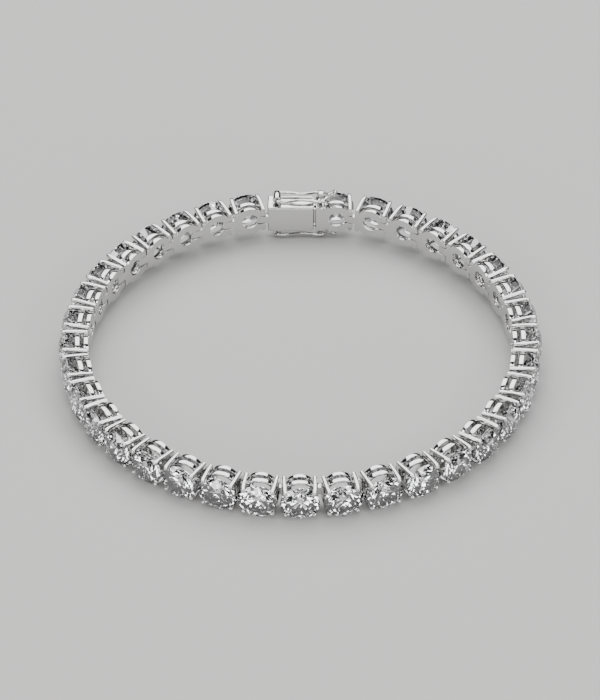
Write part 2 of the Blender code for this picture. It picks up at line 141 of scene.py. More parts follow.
clasp_shift = find_zero(uneven, -HALF * CLASP_LENGTH, HALF * CLASP_LENGTH)
right_run, left_run = both_runs(clasp_shift)
loop_depth = right_run[1].y * HALF
print("clasp shift and half depth in mm:", clasp_shift / MM, loop_depth / MM)


# %% [markdown]
# ## A frame for each link
#
# A setting is modelled once, lying straight: x runs along the bracelet, y points
# away from the wrist and z points up.  Each link then needs a matrix that turns
# this straight setting into its place in the loop.
#
# The loop itself leans a little, because the lower safety catch holds the clasp off
# the ground.  The two catches' hinges lie on one line across the clasp, so their
# places tell us the lean, and where the clasp stands.  The cut stones are rounder
# than the plain ones and reach a little lower, so the front is lifted by that much.

# %% Make the frames
def straight_frame(place, along):
    """A link's frame in the level loop, its x axis along the bracelet."""
    up = Vector((0.0, 0.0, 1.0))
    outwards = up.cross(along)
    matrix = Matrix((along, outwards, up)).transposed().to_4x4()
    matrix.translation = place - outwards * PIN_Y
    return matrix


def level_frames():
    """The frames of all links, from the clasp round the right to the front and on."""
    frames = []
    for spot, heading in reversed(right_run[0]):
        along = Vector((-math.cos(heading), -math.sin(heading), 0.0))
        place = Vector((spot.x, spot.y - loop_depth, 0.0))
        frames.append(straight_frame(place - along * PIN_X, along))
    along = Vector((-math.cos(FRONT_LEAN), -math.sin(FRONT_LEAN), 0.0))
    frames.append(straight_frame(Vector((0.0, -loop_depth, 0.0)), along))
    for spot, heading in left_run[0]:
        along = Vector((-math.cos(heading), math.sin(heading), 0.0))
        place = Vector((-spot.x, spot.y - loop_depth, 0.0))
        frames.append(straight_frame(place + along * (PITCH_LEFT - PIN_X), along))
    return frames


# %% Stand the loop on its edge
BARREL_X = 1.95 * MM             # a catch's hinge from the box's own hinge
BOX_DEPTH = 3.00 * MM
CLASP_MIDDLE = BOX_DEPTH * HALF
FRONT_LIFT = 0.12 * MM           # for the round stones, which reach lower

hinges = {joint["name"]: Vector(joint["pos_m"]) for joint in frame["joints"]}
upper_hinge = hinges["catch_upper_hinge"]
lower_hinge = hinges["catch_lower_hinge"]
clasp_up = (upper_hinge - lower_hinge).normalized()
lean = math.atan2(-clasp_up.y, clasp_up.z) - FRONT_LIFT * HALF / loop_depth
level_clasp = straight_frame(
    Vector((clasp_shift - CLASP_LENGTH * HALF, loop_depth, 0.0)), Vector((1.0, 0.0, 0.0)))
level_middle = level_clasp @ Vector((BARREL_X, CLASP_MIDDLE, 0.0))
tilt = Matrix.Rotation(lean, 4, "X")
stand = Matrix.Translation((upper_hinge + lower_hinge) * HALF - tilt @ level_middle) @ tilt
clasp_frame = stand @ level_clasp
link_frames = [stand @ matrix for matrix in level_frames()]
print("lean in degrees:", round(math.degrees(lean), 3), "links:", len(link_frames))


# %% [markdown]
# ## Tools for the bench
#
# Nearly every part of this bracelet is a bar, a plate or a turned pin, so a few
# small helpers go a long way: one stretches a skin over a row of rings, one pushes
# an outline through a thickness, one turns a profile on a lathe and one draws a
# wire.  A Bevel modifier then rounds the edges.  Real polishing does the same, and
# an edge with no radius would never catch the light.

# %% Skins over rings
def make_object(name, points, faces):
    """A mesh object from corners and faces, put in the scene."""
    mesh = bpy.data.meshes.new(name)
    mesh.from_pydata([tuple(point) for point in points], [], faces)
    mesh.update()
    made = bpy.data.objects.new(name, mesh)
    bpy.context.scene.collection.objects.link(made)
    return made


def skin_rings(name, rings):
    """A closed skin over rings of equal count, with a cap at both ends."""
    count = len(rings[0])
    points = [point for ring in rings for point in ring]
    faces = [tuple(reversed(range(count)))]
    for level in range(len(rings) - 1):
        for side in range(count):
            after = (side + 1) % count
            low = level * count
            faces.append((low + side, low + after, low + count + after, low + count + side))
    faces.append(tuple(range((len(rings) - 1) * count, len(rings) * count)))
    return make_object(name, points, faces)


# %% Plates, turned pieces and wires
def plate(name, outline, start, end):
    """Push an outline of (x, z) points, anticlockwise seen from the wrist, outwards."""
    rings = [[(x, y, z) for x, z in outline] for y in (end, start)]
    return skin_rings(name, rings)


def turned(name, profile, sides, centre, upside=1):
    """Turn a profile of (radius, height) points about an upright line."""
    rings = []
    for radius, height in profile:
        ring = []
        for index in range(sides):
            angle = upside * math.tau * index / sides
            ring.append((centre[0] + radius * math.cos(angle),
                         centre[1] + radius * math.sin(angle), upside * height))
        rings.append(ring)
    return skin_rings(name, rings)


WIRE_SIDES = 14
SHARPEST_MITRE = 0.6             # keeps a tight bend from growing a spike


def drawn_wire(name, path, radius, sides=WIRE_SIDES):
    """A round wire along a path of points, mitred where it bends."""
    upright = Vector((0.0, 0.0, 1.0))
    rings = []
    for index, point in enumerate(path):
        before = path[max(index - 1, 0)]
        after = path[min(index + 1, len(path) - 1)]
        tangent = (after - before).normalized()
        step = (after - point) if index < len(path) - 1 else (point - before)
        miter = 1.0 / max(abs(tangent.dot(step.normalized())), SHARPEST_MITRE)
        across = upright.cross(tangent).normalized()
        rise = tangent.cross(across)
        ring = []
        for turn in range(sides):
            angle = math.tau * turn / sides
            ring.append(point + across * math.cos(angle) * radius * miter
                        + rise * math.sin(angle) * radius)
        rings.append(ring)
    return skin_rings(name, rings)


# %% Rounding and joining
def apply_modifiers(piece):
    """Replace a piece's mesh by the result of its modifiers."""
    graph = bpy.context.evaluated_depsgraph_get()
    mesh = bpy.data.meshes.new_from_object(piece.evaluated_get(graph))
    piece.modifiers.clear()
    piece.data = mesh
    return piece


def polish_edges(piece, width, segments=2, angle=35.0):
    """Round every edge sharper than an angle, as a polishing wheel would."""
    bevel = piece.modifiers.new("polished edges", "BEVEL")
    bevel.width = width
    bevel.segments = segments
    bevel.limit_method = "ANGLE"
    bevel.angle_limit = math.radians(angle)
    return apply_modifiers(piece)


HAIR = 0.003 * MM
FLAT_ENOUGH = math.radians(0.2)


def clean_seams(piece):
    """Merge the corners that a join leaves closer together than a hair."""
    mesh = bmesh.new()
    mesh.from_mesh(piece.data)
    bmesh.ops.remove_doubles(mesh, verts=mesh.verts, dist=HAIR)
    bmesh.ops.dissolve_limit(mesh, angle_limit=FLAT_ENOUGH, verts=mesh.verts,
                             edges=mesh.edges)
    bmesh.ops.dissolve_degenerate(mesh, edges=mesh.edges, dist=HAIR)
    mesh.to_mesh(piece.data)
    mesh.free()
    return piece


def solder(body, parts, operation="UNION"):
    """Join parts to a body, or cut them from it, into one skin."""
    for part in parts:
        step = body.modifiers.new(part.name, "BOOLEAN")
        step.operation = operation
        step.solver = "EXACT"
        step.object = part
    apply_modifiers(body)
    for part in parts:
        bpy.data.objects.remove(part, do_unlink=True)
    return clean_seams(body)


def shade_polished(piece, angle=32.0):
    """Shade a piece smoothly, its flat faces kept flat and its true corners sharp."""
    piece.data.shade_smooth()
    piece.data.set_sharp_from_angle(angle=math.radians(angle))
    even = piece.modifiers.new("even shading", "WEIGHTED_NORMAL")
    even.keep_sharp = True
    even.weight = 80
    return apply_modifiers(piece)


def arc(radius, start, end, steps, centre=(0.0, 0.0)):
    """Points along part of a circle, its angles in degrees."""
    points = []
    for step in range(steps + 1):
        angle = math.radians(start + (end - start) * step / steps)
        points.append((centre[0] + radius * math.cos(angle),
                       centre[1] + radius * math.sin(angle)))
    return points


# %% [markdown]
# ## The base of a setting
#
# The side towards the wrist is a pierced plate.  A round hole lets light and soap
# through behind the stone, and an arch above and below follows the stone's edge.
# At both ends the plate thickens into lugs: one end carries a tab, and the other
# end is split so that the next link's tab can turn in it round a hidden pin.
#
# The outline is one closed line with the hole and the split in a single sweep, so
# the plate needs no cutting at all.

# %% Outline of the pierced plate
ARCH_RADIUS = 2.12 * MM
ARCH_CROWN = 2.18 * MM           # the top of the arch above the setting's middle
ARCH_END = 1.75 * MM             # inside the claws, where nobody sees it stop
HOLE_RADIUS = 1.12 * MM
LUG_TOP = 1.40 * MM
SLOT_HALF = 0.65 * MM
PLATE_THICK = 0.54 * MM
LUG_THICK = 0.80 * MM
LUG_LENGTH = 0.62 * MM
SOFT_EDGE = 0.06 * MM            # the radius that polishing leaves on an edge


def plate_outline():
    """The pierced plate as one line, in through the split and round the hole."""
    swing = math.degrees(math.acos(ARCH_END / ARCH_RADIUS))
    middle = (0.0, ARCH_CROWN - ARCH_RADIUS)
    top = [(BASE_HALF, LUG_TOP), (ARCH_END, LUG_TOP)]
    top += arc(ARCH_RADIUS, swing, 180.0 - swing, 20, middle)
    top += [(-ARCH_END, LUG_TOP), (-BASE_HALF, LUG_TOP)]
    bottom = [(-x, -z) for x, z in top]
    opening = math.degrees(math.asin(SLOT_HALF / HOLE_RADIUS))
    hole = arc(HOLE_RADIUS, 360.0 - opening, opening, 36)
    return top + bottom + [(BASE_HALF, -SLOT_HALF)] + hole + [(BASE_HALF, SLOT_HALF)]


def thick_lug(left, right, bottom, top):
    """A thick piece of plate that takes the pin or the tab."""
    outline = [(left, bottom), (right, bottom), (right, top), (left, top)]
    return plate("lug", outline, 0.0, LUG_THICK)


def setting_base(name):
    """The plate with its four thick lugs, the split end on the far side."""
    body = plate(name, plate_outline(), 0.0, PLATE_THICK)
    polish_edges(body, SOFT_EDGE, 3, 50.0)
    lugs = [thick_lug(BASE_HALF - LUG_LENGTH, BASE_HALF, SLOT_HALF, LUG_TOP),
            thick_lug(BASE_HALF - LUG_LENGTH, BASE_HALF, -LUG_TOP, -SLOT_HALF),
            thick_lug(-BASE_HALF, -BASE_HALF + LUG_LENGTH, -LUG_TOP, LUG_TOP)]
    for lug in lugs:
        polish_edges(lug, SOFT_EDGE, 3)
    return solder(body, lugs)


# %% The tab and the pin
PIN_RADIUS = 0.15 * MM
BORE_RADIUS = 0.265 * MM
TAB_HALF = 0.57 * MM
TAB_NOSE = 0.88 * MM             # from the pin to the tab's end, beside the hole
TAB_EDGE = 0.05 * MM
NOSE_STEP = 0.02 * MM            # the nose starts this far below the knuckle's end
TAB_ROOT = 0.15 * MM             # how far the tab is let into the plate
PIN_ROOT = 0.12 * MM             # and each end of the pin into its lug


def hinge_tab(name, root, pin_place):
    """A tab with a knuckle about the pin's line and a thin nose towards the hole."""
    knuckle = arc(PIN_Y, 90.0, 170.0, 8, (pin_place, PIN_Y))
    tip = pin_place - TAB_NOSE
    outline = [(root, 0.0), (root, 2 * PIN_Y)] + knuckle
    outline += [(tip, knuckle[-1][1] - NOSE_STEP), (tip, 0.0)]
    rings = [[(x, y, z) for x, y in outline] for z in (-TAB_HALF, TAB_HALF)]
    tab = polish_edges(skin_rings(name, rings), TAB_EDGE, 2, 50.0)
    stretch = HINGE_PLAY * HALF
    hole = [(x + math.copysign(stretch, x - pin_place), y)
            for x, y in arc(BORE_RADIUS, 5.0, 355.0, 20, (pin_place, PIN_Y))]
    cutter = skin_rings(f"{name}_bore", [[(x, y, z) for x, y in hole]
                                        for z in (-2 * TAB_HALF, 2 * TAB_HALF)])
    return solder(tab, [cutter], "DIFFERENCE")


def hinge_pin(name):
    """The pin across the split end, rooted in the lugs."""
    reach = SLOT_HALF + PIN_ROOT
    return turned(name, [(PIN_RADIUS, -reach), (PIN_RADIUS, reach)], 14, (PIN_X, PIN_Y))


# %% [markdown]
# ## Claws and their ring
#
# Four bars rise from the base past the stone's edge and end in small round beads
# that press on the crown.  A goldsmith files these from square wire and rounds the
# edges well, so only a narrow flat is left along each side, and the light runs over
# it in one long line.  A ring ties the bars together half way up.
#
# We give the bar a rounded-square section and stretch a skin along it.  Its last
# rings shrink along a quarter circle, which makes the bead.

# %% A claw
CLAW_FOOT = 1.544 * MM
CLAW_LEAN = 0.30 * MM            # the tips stand higher than the feet
CLAW_SPLAY = 0.09 * MM           # and the feet stand wider apart along the row
CLAW_LENGTH = 3.62 * MM
CLAW_FILED = 0.97                # what filing leaves of the bar's width
CLAW_EDGE = 0.22 * MM            # the radius of its long edges
CLAW_BOW = 0.03 * MM
CLAW_DIP = 0.10 * MM             # how far the tip bends down to the stone
DIP_START, DIP_SHARE = 0.8, 0.2  # along the bar


def bar_section(half, radius, steps):
    """A square section with rounded corners, as (across, up) points."""
    inner = half - radius
    points = []
    for turn, (side_x, side_z) in enumerate(((1, 1), (-1, 1), (-1, -1), (1, -1))):
        centre = (side_x * inner, side_z * inner)
        points += arc(radius, 90.0 * turn, 90.0 * turn + 90.0, steps, centre)
    return points


def claw(name, side_x, side_z):
    """A leaning bar with a bead at its tip, bowed a little towards the stone."""
    section = bar_section(CLAW_HALF * CLAW_FILED, CLAW_EDGE, 4)
    bead = CLAW_HALF
    straight = CLAW_LENGTH - bead
    rings = [(0.03 * MM, 0.88), (0.07 * MM, 1.0)]
    rings += [(share * straight, 1.0) for share in (0.25, 0.5, 0.75, 0.9, 1.0)]
    for swing in (15.0, 30.0, 45.0, 60.0, 74.0, 86.0):
        angle = math.radians(swing)
        rings.append((straight + bead * math.sin(angle), max(math.cos(angle), 0.12)))
    skin = []
    for y, scale in rings:
        share = y / CLAW_LENGTH
        bow = CLAW_BOW * math.sin(math.pi * share)
        dip = CLAW_DIP * max(share - DIP_START, 0.0) / DIP_SHARE
        out = CLAW_OUT + CLAW_SPLAY * (1 - share) + bow - dip * HALF
        up = CLAW_FOOT + CLAW_LEAN * share + bow - dip
        skin.append([(side_x * out + across * scale, y, side_z * up + rise * scale)
                     for across, rise in reversed(section)])
    return skin_rings(name, skin)


# %% The gallery ring
RING_START = 1.08 * MM
RING_END = 1.76 * MM
RING_WALL = 0.36 * MM
RING_WIDE = 2.16 * MM
RING_HIGH = ARCH_CROWN - 0.02 * MM
RING_EDGE = 0.12 * MM
RING_SQUARE = 2.0 / 2.35          # 1 gives an oval, and less a squarer ring


def ring_outline(wide, high, steps=48):
    """A circle squared a little, so that its corners reach into the claws."""
    outline = []
    for step in range(steps):
        angle = math.tau * step / steps
        x, z = math.cos(angle), math.sin(angle)
        outline.append((math.copysign(abs(x) ** RING_SQUARE, x) * wide,
                        math.copysign(abs(z) ** RING_SQUARE, z) * high))
    return outline


def gallery_ring(name):
    """The ring half way up, which ties the four claws together."""
    body = plate(name, ring_outline(RING_WIDE, RING_HIGH), RING_START, RING_END)
    inner = ring_outline(RING_WIDE - RING_WALL, RING_HIGH - RING_WALL)
    inside = plate(f"{name}_inside", inner, RING_START - RING_WALL, RING_END + RING_WALL)
    return polish_edges(solder(body, [inside], "DIFFERENCE"), RING_EDGE, 4, 50.0)


# %% Solder one setting
def setting(name, with_tab=True):
    """A whole setting without its stone, in its own straight frame."""
    body = setting_base(name)
    parts = [claw(f"{name}_claw", x, z) for x in (1, -1) for z in (1, -1)]
    parts += [gallery_ring(f"{name}_ring"), hinge_pin(f"{name}_pin")]
    if with_tab:
        parts.append(hinge_tab(f"{name}_tab", -BASE_HALF + TAB_ROOT, PIN_X - PITCH))
    return shade_polished(solder(body, parts))


master_setting = setting("setting_master")
last_setting = setting("setting_last", with_tab=False)
print("faces in one setting:", len(master_setting.data.polygons))

# %% [markdown]
# ## The stones
#
# A round brilliant has fifty-seven facets in three sets.  The crown has a flat
# table, eight kites and a ring of small triangles, and the pavilion below runs to a
# point.  The angles matter more than anything else here: at about 34 degrees above
# and 41 below, light that enters the table bounces twice and comes back out.
#
# Each kite is flat, so its corners all lie on one tilted plane.  We work out that
# plane from its angle, and every corner's height follows.

# %% Sizes of a brilliant
STONE_RADIUS = 2.50 * MM
TABLE_RADIUS = 1.43 * MM
TABLE_HEIGHT = 3.88 * MM
CROWN_ANGLE = math.radians(34.5)
PAVILION_ANGLE = math.radians(40.8)
GIRDLE_THICK = 0.13 * MM
STAR_RADIUS = 1.90 * MM
LOWER_RADIUS = 0.62 * MM
girdle_height = TABLE_HEIGHT - (STONE_RADIUS - TABLE_RADIUS) * math.tan(CROWN_ANGLE)


# %% Facet by facet
EIGHTH = math.tau / 8
QUARTER_STEP = EIGHTH / 4
GIRDLE_CORNERS = 32


def kite_rise(radius, off_angle, steepness):
    """How far a kite's plane has risen from the girdle, at an angle off its middle."""
    return (STONE_RADIUS - radius * math.cos(off_angle)) * math.tan(steepness)


def girdle_dip(radius, rise):
    """How far the facets beside a kite cut into the girdle, half way along them."""
    inwards = (STONE_RADIUS - radius) * math.cos(QUARTER_STEP)
    return rise / inwards * STONE_RADIUS * (1 - math.cos(QUARTER_STEP))


def stone_point(radius, angle, height):
    """A point of the stone, its axis along y and its table outwards."""
    return (radius * math.cos(angle), height, -radius * math.sin(angle))


def stone_points():
    """All corners of a brilliant, ring by ring from the table down."""
    half = EIGHTH * HALF
    low = girdle_height - GIRDLE_THICK
    star_rise = kite_rise(STAR_RADIUS, half, CROWN_ANGLE)
    lower_drop = kite_rise(LOWER_RADIUS, half, PAVILION_ANGLE)
    points = [stone_point(TABLE_RADIUS, k * EIGHTH, TABLE_HEIGHT) for k in range(8)]
    points += [stone_point(STAR_RADIUS, k * EIGHTH + half, girdle_height + star_rise)
               for k in range(8)]
    crown_dip = girdle_dip(STAR_RADIUS, star_rise)
    for k in range(GIRDLE_CORNERS):
        height = girdle_height - crown_dip * (k % 2)
        points.append(stone_point(STONE_RADIUS, k * QUARTER_STEP, height))
    under_dip = girdle_dip(LOWER_RADIUS, lower_drop)
    for k in range(GIRDLE_CORNERS):
        height = low + under_dip * (k % 2)
        points.append(stone_point(STONE_RADIUS, k * QUARTER_STEP, height))
    points += [stone_point(LOWER_RADIUS, k * EIGHTH + half, low - lower_drop)
               for k in range(8)]
    points.append((0.0, low - kite_rise(0.0, 0.0, PAVILION_ANGLE), 0.0))
    return points


def stone_faces():
    """The table, then the stars, kites, halves and girdle of each eighth."""
    star, top = 8, 16            # where each ring of corners begins in the list
    bottom = top + GIRDLE_CORNERS
    lower = bottom + GIRDLE_CORNERS
    culet = lower + 8
    faces = [tuple(range(8))]
    for k in range(8):
        after, before = (k + 1) % 8, (k - 1) % 8
        upper = [top + (4 * k + step) % GIRDLE_CORNERS for step in range(5)]
        under = [bottom + (4 * k + step) % GIRDLE_CORNERS for step in range(5)]
        faces.append((k, star + k, after))
        faces.append((k, star + before, upper[0], star + k))
        faces.append((lower + before, culet, lower + k, under[0]))
        for first in (0, 2):
            faces.append((star + k, upper[first], upper[first + 1], upper[first + 2]))
            faces.append((lower + k, under[first + 2], under[first + 1], under[first]))
        for step in range(4):
            faces.append((upper[step], under[step], under[step + 1], upper[step + 1]))
    return faces


def brilliant(name):
    """A round brilliant with table, crown, girdle and pavilion facets."""
    return make_object(name, stone_points(), stone_faces())


master_stone = brilliant("stone_master")
print("faces in one stone:", len(master_stone.data.polygons))

# %% [markdown]
# ## The clasp
#
# A box clasp is a small case that takes a sprung tongue.  The tongue is a folded
# strip of metal, and when it snaps behind the rim the bracelet is closed.  The case
# hangs on the row's last link by a tab of its own.  The tongue is soldered to an end
# block, which one more setting carries at the other end of the row.
#
# We shape the case by rounding a block and sinking its upper and lower faces, so
# that a raised frame stays round them, as the real one has.

# %% Blocks and rods
BOX_START = 0.62 * MM
BOX_END = 7.07 * MM
BOX_UP = 2.05 * MM               # the case is 4.1 mm high
BOX_RECESS = 0.20 * MM
BOX_RIM = 0.38 * MM
BOX_END_RIM = 0.72 * MM
BOX_EDGE = 0.24 * MM
POCKET_START = 2.70 * MM
POCKET_DEEP = 0.85 * MM          # half its depth
POCKET_HIGH = 1.40 * MM          # half its height
BLOCK_START = 7.29 * MM
BLOCK_END = 8.85 * MM
LAST_SETTING_X = 10.2044 * MM
BARREL_UP = 2.85 * MM
BARREL_LENGTH = 1.62 * MM
BARREL_RADIUS = 0.58 * MM
FOOT_LONG = 0.35 * MM            # half the length of a barrel's foot
FOOT_DEEP = 0.62 * MM            # half its depth
FOOT_EDGE = 0.08 * MM
WIRE_RADIUS = 0.21 * MM
WIRE_PLAY = 0.10 * MM
STUD_X = 8.07 * MM
ROUND_SIDES = 28


def block(name, low, high, rounding=0.0, segments=3):
    """A block between two corners, its edges rounded."""
    outline = [(low[0], low[2]), (high[0], low[2]), (high[0], high[2]), (low[0], high[2])]
    made = plate(name, outline, low[1], high[1])
    return polish_edges(made, rounding, segments) if rounding else made


def rod_outwards(name, radius, length, side, sides=ROUND_SIDES):
    """A round rod along a catch's hinge line, above or below the clasp."""
    outline = arc(radius, 0.0, 360.0 - 360.0 / sides, sides - 1,
                  (BARREL_X, side * BARREL_UP))
    return plate(name, outline, CLASP_MIDDLE - length * HALF, CLASP_MIDDLE + length * HALF)


# %% The case
def barrel_parts(name, side):
    """A barrel for a catch's ends, and the foot that holds it off the case."""
    tube = polish_edges(rod_outwards(name, BARREL_RADIUS, BARREL_LENGTH, side), SOFT_EDGE, 3)
    levels = sorted((side * (BOX_UP - 2 * BOX_RECESS), side * BARREL_UP))
    foot = block(f"{name}_foot", (BARREL_X - FOOT_LONG, CLASP_MIDDLE - FOOT_DEEP, levels[0]),
                 (BARREL_X + FOOT_LONG, CLASP_MIDDLE + FOOT_DEEP, levels[1]), FOOT_EDGE)
    return [tube, foot]


def clasp_case(name):
    """The case with its sunken faces, its pocket, its tab and both barrels."""
    body = block(name, (BOX_START, 0.0, -BOX_UP), (BOX_END, BOX_DEPTH, BOX_UP), BOX_EDGE, 4)
    cutters = []
    for side in (1, -1):
        levels = sorted((side * (BOX_UP - BOX_RECESS), side * (BOX_UP + BOX_RECESS)))
        cutters.append(block(f"{name}_sunken", (BOX_START + BOX_END_RIM, BOX_RIM, levels[0]),
                             (BOX_END + BOX_RIM, BOX_DEPTH - BOX_RIM, levels[1]),
                             0.07 * MM, 2))
    cutters.append(block(f"{name}_pocket",
                         (POCKET_START, CLASP_MIDDLE - POCKET_DEEP, -POCKET_HIGH),
                         (BOX_END + BOX_RIM, CLASP_MIDDLE + POCKET_DEEP, POCKET_HIGH)))
    solder(body, cutters, "DIFFERENCE")
    parts = [hinge_tab(f"{name}_tab", BOX_START + BOX_RIM, 0.0)]
    for side in (1, -1):
        parts += barrel_parts(f"{name}_barrel", side)
    solder(body, parts)
    bores = [rod_outwards(f"{name}_bore", WIRE_RADIUS + WIRE_PLAY, 2 * BARREL_LENGTH, side)
             for side in (1, -1)]
    return shade_polished(solder(body, bores, "DIFFERENCE"))


# %% The tongue, the end block and the studs
def stud(name, side):
    """A domed head on a neck and a ringed collar, turned in one piece."""
    collar = [(0.62, -0.20), (0.62, 0.34), (0.70, 0.42), (0.70, 0.68), (0.64, 0.74)]
    neck = [(0.34, 0.78), (0.30, 0.84), (0.30, 1.14), (0.34, 1.20)]
    head = [(0.49, 1.25), (0.55, 1.33), (0.55, 1.52), (0.51, 1.62), (0.42, 1.69),
            (0.27, 1.74), (0.10, 1.76)]
    profile = [(radius * MM, BOX_UP + height * MM) for radius, height in collar + neck + head]
    return turned(name, profile, ROUND_SIDES, (STUD_X, CLASP_MIDDLE), side)


def folded_tongue(name):
    """A strip folded at its nose, the outer leaf sprung away from the inner one."""
    nose, root = 2.89 * MM, BLOCK_START + 0.40 * MM
    thin, thick, wall = 0.25 * MM, 0.65 * MM, 0.30 * MM
    half_height, middle = 1.20 * MM, CLASP_MIDDLE
    outline = [(nose, middle - thin), (root, middle - thick), (root, middle - thick + wall),
               (nose + 0.5 * MM, middle), (root, middle + thick - wall),
               (root, middle + thick), (nose, middle + thin)]
    rings = [[(x, y, z) for x, y in outline] for z in (-half_height, half_height)]
    return skin_rings(name, rings)


def clasp_end(name):
    """The last setting with its end block, its tongue and both studs."""
    body = last_setting
    body.name = name
    body.data.transform(Matrix.Translation((LAST_SETTING_X, 0.0, 0.0)))
    parts = [block(f"{name}_block", (BLOCK_START, 0.0, -BOX_UP),
                   (BLOCK_END, BOX_DEPTH, BOX_UP), BOX_EDGE, 4),
             folded_tongue(f"{name}_tongue")]
    parts += [stud(f"{name}_stud", side) for side in (1, -1)]
    return shade_polished(solder(body, parts))


# %% [markdown]
# ## The safety catches
#
# Should the tongue ever slip, a bent wire on each side still holds.  Its two ends
# turn in a barrel on the case, its waist is squeezed narrow, and beyond the waist
# it widens into a loop that snaps over a stud.  A small raised nose gives the
# thumbnail something to lift.
#
# The wire is one path with the same shape on both sides, so we draw half of it.

# %% A catch
CATCH_REACH = STUD_X - BARREL_X
TURN_RADIUS = 0.231 * MM
THUMB_END = CATCH_REACH + 1.80 * MM
UPPER_LIFT = 0.95 * MM
LOWER_LIFT = 0.55 * MM           # pressed flatter, since the clasp rests on it
LOOP_HALF = 1.13 * MM
WAIST_HALF = 0.73 * MM
CATCH_CORNER = 0.30 * MM
END_REACH = 0.45 * MM            # how far the wire's ends turn in towards each other
NOSE_CURVE = 1.6
# (along, half width) from the corner through the waist and the loop to the nose
catch_rows = [(0.16 * CATCH_REACH, LOOP_HALF), (0.56 * CATCH_REACH, WAIST_HALF),
              (CATCH_REACH, LOOP_HALF), (CATCH_REACH + 1.10 * MM, 0.26 * MM),
              (THUMB_END, TURN_RADIUS)]


def catch_lift(along, top):
    """How high the wire has risen towards the thumb's nose."""
    share = max(along - CATCH_REACH, 0.0) / (THUMB_END + TURN_RADIUS - CATCH_REACH)
    return top * share ** NOSE_CURVE


def catch_side(top, steps=8):
    """Points along one side: a round corner, the waist, the loop and the nose."""
    side = [(CATCH_CORNER - x, LOOP_HALF - CATCH_CORNER + y)
            for x, y in arc(CATCH_CORNER, 0.0, 90.0, 5)]
    for (along, wide), (after, narrow) in zip(catch_rows, catch_rows[1:]):
        for step in range(steps):
            share = step / steps
            ease = HALF - HALF * math.cos(math.pi * share)
            side.append((along + (after - along) * share, wide + (narrow - wide) * ease))
    return [(x, y, catch_lift(x, top)) for x, y in side]


def catch_wire(name, side):
    """A whole catch about its own hinge, its nose lifted away from the case."""
    top = UPPER_LIFT if side > 0 else LOWER_LIFT
    half = catch_side(top)
    stub = LOOP_HALF - END_REACH - WIRE_RADIUS
    turn = [(THUMB_END + x, y, catch_lift(THUMB_END + x, top))
            for x, y in arc(TURN_RADIUS, -90.0, 90.0, 8)]
    path = [(0.0, -stub, 0.0)] + [(x, -y, z) for x, y, z in half] + turn
    path += list(reversed(half)) + [(0.0, stub, 0.0)]
    wire = drawn_wire(name, [Vector(point) for point in path], WIRE_RADIUS)
    if side < 0:
        wire.data.transform(Matrix.Diagonal((1.0, 1.0, -1.0, 1.0)))
        wire.data.flip_normals()
    return shade_polished(wire, 50.0)


# %% [markdown]
# ## Polished white gold
#
# White gold for stone settings is polished until it is nearly a mirror, a little
# darker than silver.  It is never perfect: buffing leaves fine lines, and wear makes
# some places a little duller.  A mirror with one roughness everywhere looks like
# plastic film, so we let two noises steer the roughness and the finest bumps.
#
# The colour hardly changes, so it is a very faint drift from neutral to warm.

# %% Nodes by hand
def add_node(tree, kind, **inputs):
    """A node of a kind, with its named inputs set."""
    node = tree.nodes.new(kind)
    for label, value in inputs.items():
        node.inputs[label.replace("_", " ")].default_value = value
    return node


def steer(tree, factor, low, high):
    """Stretch a noise's middle range to run between two values."""
    node = add_node(tree, "ShaderNodeMapRange", From_Min=0.35, From_Max=0.65,
                    To_Min=low, To_Max=high)
    tree.links.new(factor, node.inputs["Value"])
    return node.outputs["Result"]


MIX_FACTOR, MIX_ONE, MIX_OTHER, MIX_RESULT = 0, 6, 7, 2    # a mix node's colour sockets


def drift(tree, factor, one, other):
    """Let a noise mix two colours."""
    node = tree.nodes.new("ShaderNodeMix")
    node.data_type = "RGBA"
    node.inputs[MIX_ONE].default_value = (*one, 1.0)
    node.inputs[MIX_OTHER].default_value = (*other, 1.0)
    tree.links.new(factor, node.inputs[MIX_FACTOR])
    return node.outputs[MIX_RESULT]


def new_material(name):
    """An empty material with its shader, its surface coordinates and its node tree."""
    made = bpy.data.materials.new(name)
    made.use_nodes = True
    tree = made.node_tree
    shader = tree.nodes["Principled BSDF"]
    place = tree.nodes.new("ShaderNodeTexCoord").outputs["Object"]
    return made, tree, shader, place


def noise(tree, place, scale, detail=3.0, stretch=None):
    """A noise over the surface, drawn out along one way if a stretch is given."""
    if stretch:
        mapping = tree.nodes.new("ShaderNodeMapping")
        mapping.inputs["Scale"].default_value = stretch
        tree.links.new(place, mapping.inputs["Vector"])
        place = mapping.outputs["Vector"]
    node = add_node(tree, "ShaderNodeTexNoise", Scale=scale, Detail=detail)
    tree.links.new(place, node.inputs["Vector"])
    return node.outputs["Fac"]


def bump(tree, shader, height, distance, strength):
    """Turn a noise into small hills of a given height."""
    node = add_node(tree, "ShaderNodeBump", Distance=distance, Strength=strength)
    tree.links.new(height, node.inputs["Height"])
    tree.links.new(node.outputs["Normal"], shader.inputs["Normal"])


# %% The gold
NEUTRAL_GOLD = (0.60, 0.60, 0.60)
WARM_GOLD = (0.65, 0.64, 0.63)
FRESH_POLISH, WORN_POLISH = 0.05, 0.13
WEAR_SCALE, BUFFING_SCALE = 900.0, 5000.0


def polished_gold(name):
    """White gold with buffing lines and a worn, uneven shine."""
    made, tree, shader, place = new_material(name)
    shader.inputs["Metallic"].default_value = 1.0
    wear = noise(tree, place, WEAR_SCALE)
    lines = noise(tree, place, BUFFING_SCALE, 2.0, (1.0, 1.0, 6.0))
    tree.links.new(steer(tree, wear, FRESH_POLISH, WORN_POLISH), shader.inputs["Roughness"])
    colour = drift(tree, wear, NEUTRAL_GOLD, WARM_GOLD)
    tree.links.new(colour, shader.inputs["Base Color"])
    bump(tree, shader, lines, 0.000002, 0.25)
    return made


gold = polished_gold("white gold, polished")
print("material:", gold.name)

